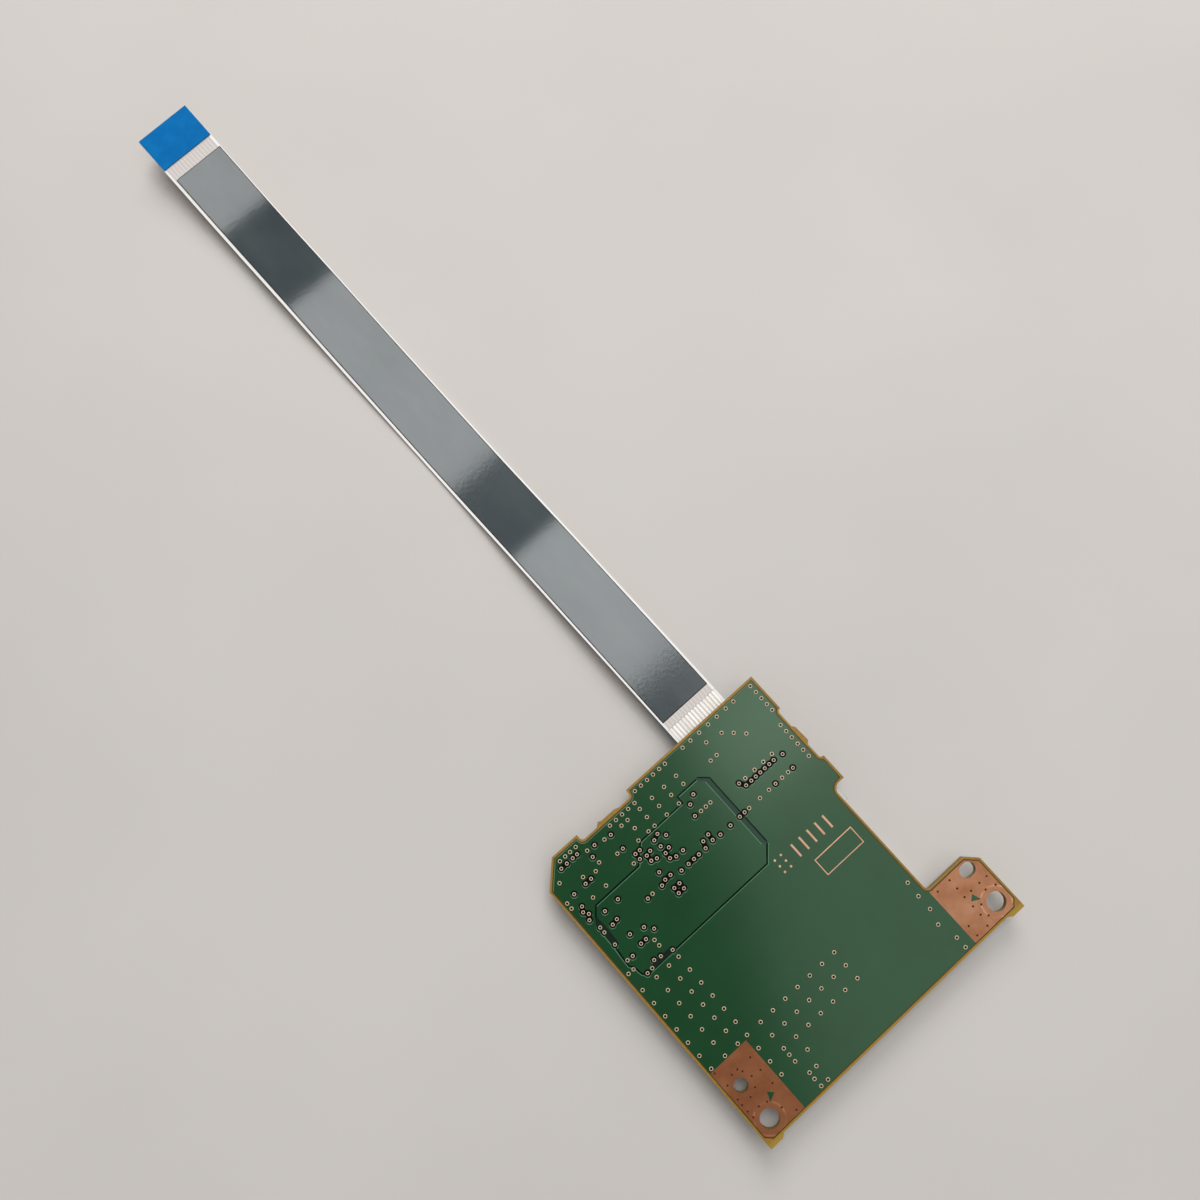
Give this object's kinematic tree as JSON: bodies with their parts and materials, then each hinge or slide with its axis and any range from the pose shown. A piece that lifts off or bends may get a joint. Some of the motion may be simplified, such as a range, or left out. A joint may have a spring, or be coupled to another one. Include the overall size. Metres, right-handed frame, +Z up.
{
  "type": "card reader board",
  "caption": "Small green circuit board with a memory card socket and a ribbon connector under it, bare copper screw lands and a flat ribbon cable with a blue stiffened end.",
  "frame": {"origin": "on the surface that the card socket rests on, below the middle of the board's outline", "axes": "+Z up out of the bare solder side of the board, +Y from the card edge towards the ribbon, +X towards the screw tab"},
  "size_m": [0.0416, 0.1491, 0.0044],
  "materials": {
    "laminate": "bare glass epoxy",
    "solder_mask": "green, semi-gloss",
    "bare_copper": "brown, matt",
    "black_resin": "moulded",
    "stainless_steel": "rolled",
    "gold_plate": "plated",
    "ivory_resin": "moulded",
    "brown_resin": "moulded",
    "tin_plate": "dull",
    "white_film": "polyester film",
    "dark_tape": "semi-gloss film",
    "blue_film": "polyester film",
    "chip_resin": "moulded",
    "capacitor_ceramic": "sintered",
    "resistor_coat": "glazed",
    "ferrite": "sintered"
  },
  "bodies": {
    "board": {"circuit_board": "laminate", "solder_mask": "solder_mask", "ground_lands": "bare_copper", "card_socket_base": "black_resin", "card_socket_shell": "stainless_steel", "card_contacts": "gold_plate", "card_switch_contacts": "gold_plate", "ribbon_connector_housing": "ivory_resin", "ribbon_connector_contacts": "gold_plate", "ribbon_connector_nails": "tin_plate", "ribbon_insulation": "white_film", "ribbon_conductors": "tin_plate", "ribbon_tape": "dark_tape", "ribbon_board_stiffener": "blue_film", "ribbon_far_stiffener": "blue_film", "controller_chip": "chip_resin", "controller_terminals": "tin_plate", "power_switch": "chip_resin", "power_switch_leads": "tin_plate", "surge_suppressor": "chip_resin", "surge_suppressor_leads": "tin_plate", "capacitors": "capacitor_ceramic", "resistors": "resistor_coat", "ferrite_beads": "ferrite", "noise_filter": "ferrite", "chip_end_caps": "tin_plate"},
    "ribbon_lock": {"ribbon_connector_lock": "brown_resin"}
  },
  "joints": [
    {"name": "ribbon_lock_hinge", "type": "hinge", "parent": "board", "child": "ribbon_lock", "pos_m": [0.00698, 0.01689, 0.00234], "axis": [1, 0, 0], "range_deg": [0, 90]}
  ]
}
